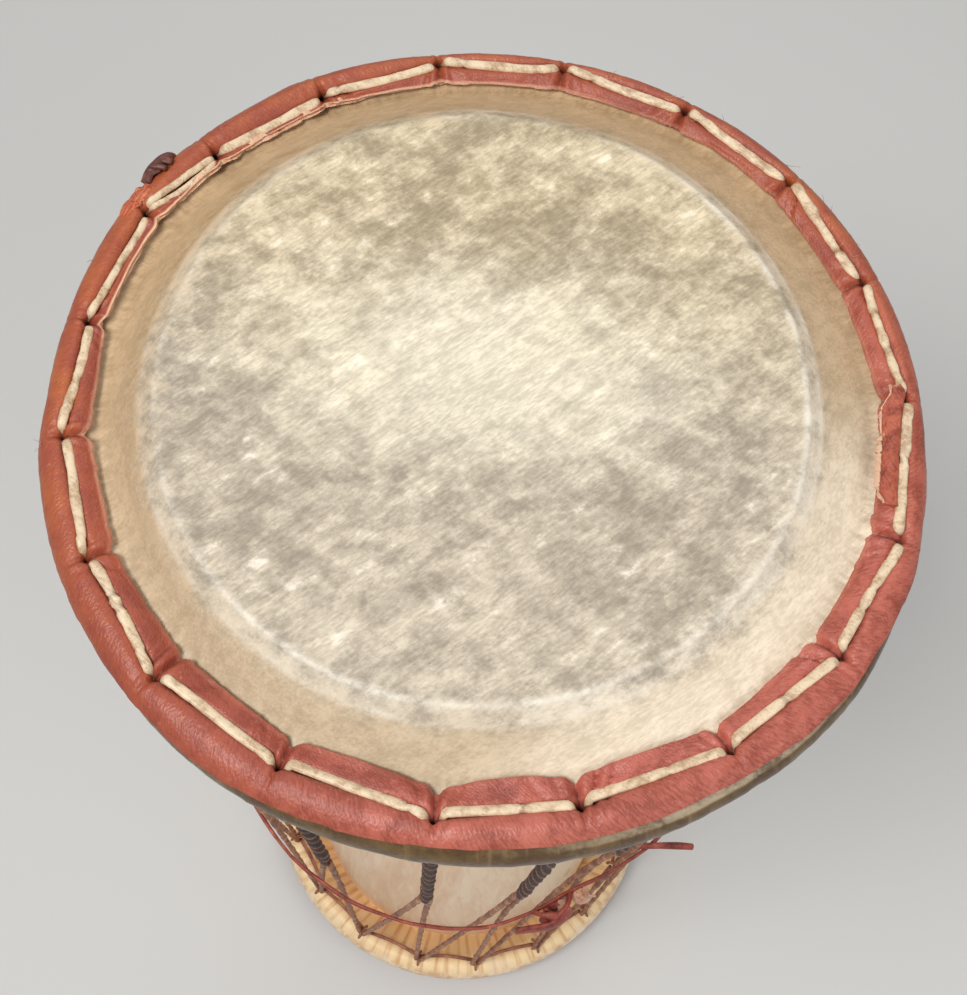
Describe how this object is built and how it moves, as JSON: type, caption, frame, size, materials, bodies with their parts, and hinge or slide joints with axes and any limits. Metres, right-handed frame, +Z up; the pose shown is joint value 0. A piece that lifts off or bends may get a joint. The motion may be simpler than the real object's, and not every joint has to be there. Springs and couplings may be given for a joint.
{
  "type": "hourglass tension drum",
  "caption": "Hourglass drum, a skin head at each end, leather-bound stitched rims, twisted thongs laced between the rims and pulled in by a tied thong.",
  "frame": {"origin": "on the ground under the middle of the lower head, which the drum stands on", "axes": "+Z up along the drum's axis, -Y towards the side nearest the camera in the picture, +X to the picture's right"},
  "size_m": [0.2298, 0.2298, 0.5344],
  "materials": {
    "shell_wood": "pale turned wood, smooth, dull",
    "upper_skin": "mottled scraped goatskin, satin",
    "lower_skin": "pale yellow pleated goatskin",
    "red_leather": "terracotta red dyed leather, satin",
    "rawhide_lace": "cream rawhide lace",
    "brown_thong": "twisted brown leather thong",
    "red_thong": "red dyed leather thong",
    "dark_thong": "dark brown knotted thong"
  },
  "bodies": {
    "root": {"shell": "shell_wood", "upper_head": "upper_skin", "lower_head": "lower_skin", "upper_rim_band": "red_leather", "lower_rim_band": "red_leather", "upper_rim_lace": "rawhide_lace", "lower_rim_lace": "brown_thong", "tension_lacing": "brown_thong", "tension_belt": "red_thong", "rim_knot": "dark_thong"}
  },
  "joints": []
}
